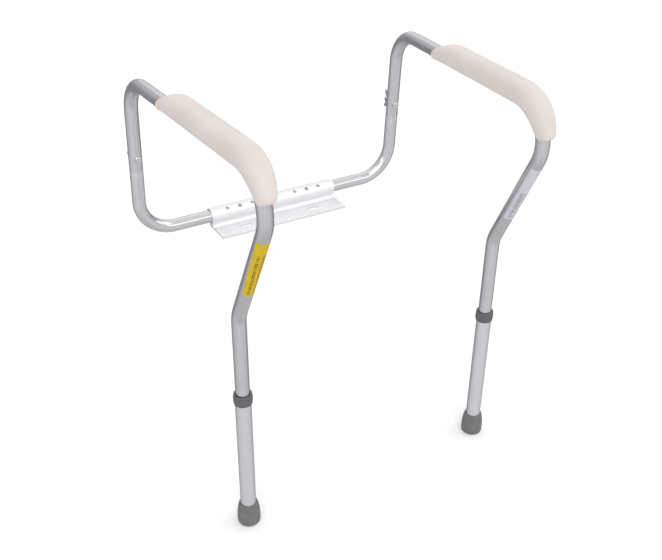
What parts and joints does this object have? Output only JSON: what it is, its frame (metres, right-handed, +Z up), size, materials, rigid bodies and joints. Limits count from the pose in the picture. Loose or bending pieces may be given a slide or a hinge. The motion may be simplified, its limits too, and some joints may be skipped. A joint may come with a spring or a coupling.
{
  "type": "toilet safety frame",
  "caption": "Toilet safety frame: bent-tube padded armrests joined by a rear bracket that bolts under the seat, with height-adjustable front legs and width adjustment.",
  "frame": {"origin": "centre of the two seat-bolt slots, on the underside of the bracket's flange", "axes": "+Z up, the sitting person faces -Y, +X towards the right-hand armrest as seen from the front"},
  "size_m": [0.5178, 0.4718, 0.6847],
  "materials": {
    "bracket_aluminium": "satin",
    "tube_aluminium": "satin",
    "leg_aluminium": "satin",
    "button_steel": "satin",
    "spring_steel": "satin",
    "fastener_steel": "satin",
    "pad_foam": "satin",
    "glide_plastic": "satin",
    "collar_plastic": "satin",
    "foot_rubber": "matte",
    "yellow_sticker": "satin",
    "white_sticker": "satin"
  },
  "bodies": {
    "bracket": {"mounting_bracket": "bracket_aluminium"},
    "left_side": {"left_base_tube": "tube_aluminium", "left_width_button_spring": "spring_steel", "left_arm_tube": "tube_aluminium", "left_joint_bolt": "fastener_steel", "left_joint_washer": "fastener_steel", "left_arm_pad": "pad_foam", "left_leg_button_spring": "spring_steel", "left_leg_glide": "glide_plastic", "left_label": "yellow_sticker"},
    "left_width_button_body": {"left_width_button": "button_steel"},
    "left_lower_leg_body": {"left_lower_leg": "leg_aluminium", "left_leg_collar": "collar_plastic", "left_foot": "foot_rubber", "left_foot_washer": "fastener_steel"},
    "left_leg_button_body": {"left_leg_button": "button_steel"},
    "left_wing_nut_body": {"left_wing_nut": "fastener_steel"},
    "right_side": {"right_base_tube": "tube_aluminium", "right_width_button_spring": "spring_steel", "right_arm_tube": "tube_aluminium", "right_joint_bolt": "fastener_steel", "right_joint_washer": "fastener_steel", "right_arm_pad": "pad_foam", "right_leg_button_spring": "spring_steel", "right_leg_glide": "glide_plastic", "right_label": "white_sticker"},
    "right_width_button_body": {"right_width_button": "button_steel"},
    "right_lower_leg_body": {"right_lower_leg": "leg_aluminium", "right_leg_collar": "collar_plastic", "right_foot": "foot_rubber", "right_foot_washer": "fastener_steel"},
    "right_leg_button_body": {"right_leg_button": "button_steel"},
    "right_wing_nut_body": {"right_wing_nut": "fastener_steel"}
  },
  "joints": [
    {"name": "left_width_slide", "type": "slide", "parent": "bracket", "child": "left_side", "axis": [-1, 0, 0], "range_m": [-0.024, 0.024], "deforming": ["left_width_button", "left_width_button_spring"]},
    {"name": "left_width_button_press", "type": "slide", "parent": "left_side", "child": "left_width_button_body", "axis": [0, 0.5736, -0.8192], "range_m": [0, 0.006], "stiffness_N_per_m": 1200, "deforming": ["left_width_button_spring"]},
    {"name": "left_leg_height_slide", "type": "slide", "parent": "left_side", "child": "left_lower_leg_body", "axis": [0, 0, -1], "range_m": [-0.0508, 0.1016]},
    {"name": "left_leg_button_press", "type": "slide", "parent": "left_side", "child": "left_leg_button_body", "axis": [0, -1, 0], "range_m": [0, 0.005], "stiffness_N_per_m": 1200, "deforming": ["left_leg_button_spring"]},
    {"name": "left_wing_nut_turn", "type": "hinge", "parent": "left_side", "child": "left_wing_nut_body", "pos_m": [-0.24748, 0.02322, 0.1632], "axis": [-0.0557, 0.9964, 0.0645], "continuous": true},
    {"name": "right_width_slide", "type": "slide", "parent": "bracket", "child": "right_side", "axis": [1, 0, 0], "range_m": [-0.024, 0.024], "deforming": ["right_width_button", "right_width_button_spring"]},
    {"name": "right_width_button_press", "type": "slide", "parent": "right_side", "child": "right_width_button_body", "axis": [0, 0.5736, -0.8192], "range_m": [0, 0.006], "stiffness_N_per_m": 1200, "deforming": ["right_width_button_spring"]},
    {"name": "right_leg_height_slide", "type": "slide", "parent": "right_side", "child": "right_lower_leg_body", "axis": [0, 0, -1], "range_m": [-0.0508, 0.1016]},
    {"name": "right_leg_button_press", "type": "slide", "parent": "right_side", "child": "right_leg_button_body", "axis": [0, -1, 0], "range_m": [0, 0.005], "stiffness_N_per_m": 1200, "deforming": ["right_leg_button_spring"]},
    {"name": "right_wing_nut_turn", "type": "hinge", "parent": "right_side", "child": "right_wing_nut_body", "pos_m": [0.24748, 0.02322, 0.1632], "axis": [0.0557, 0.9964, 0.0645], "continuous": true}
  ]
}
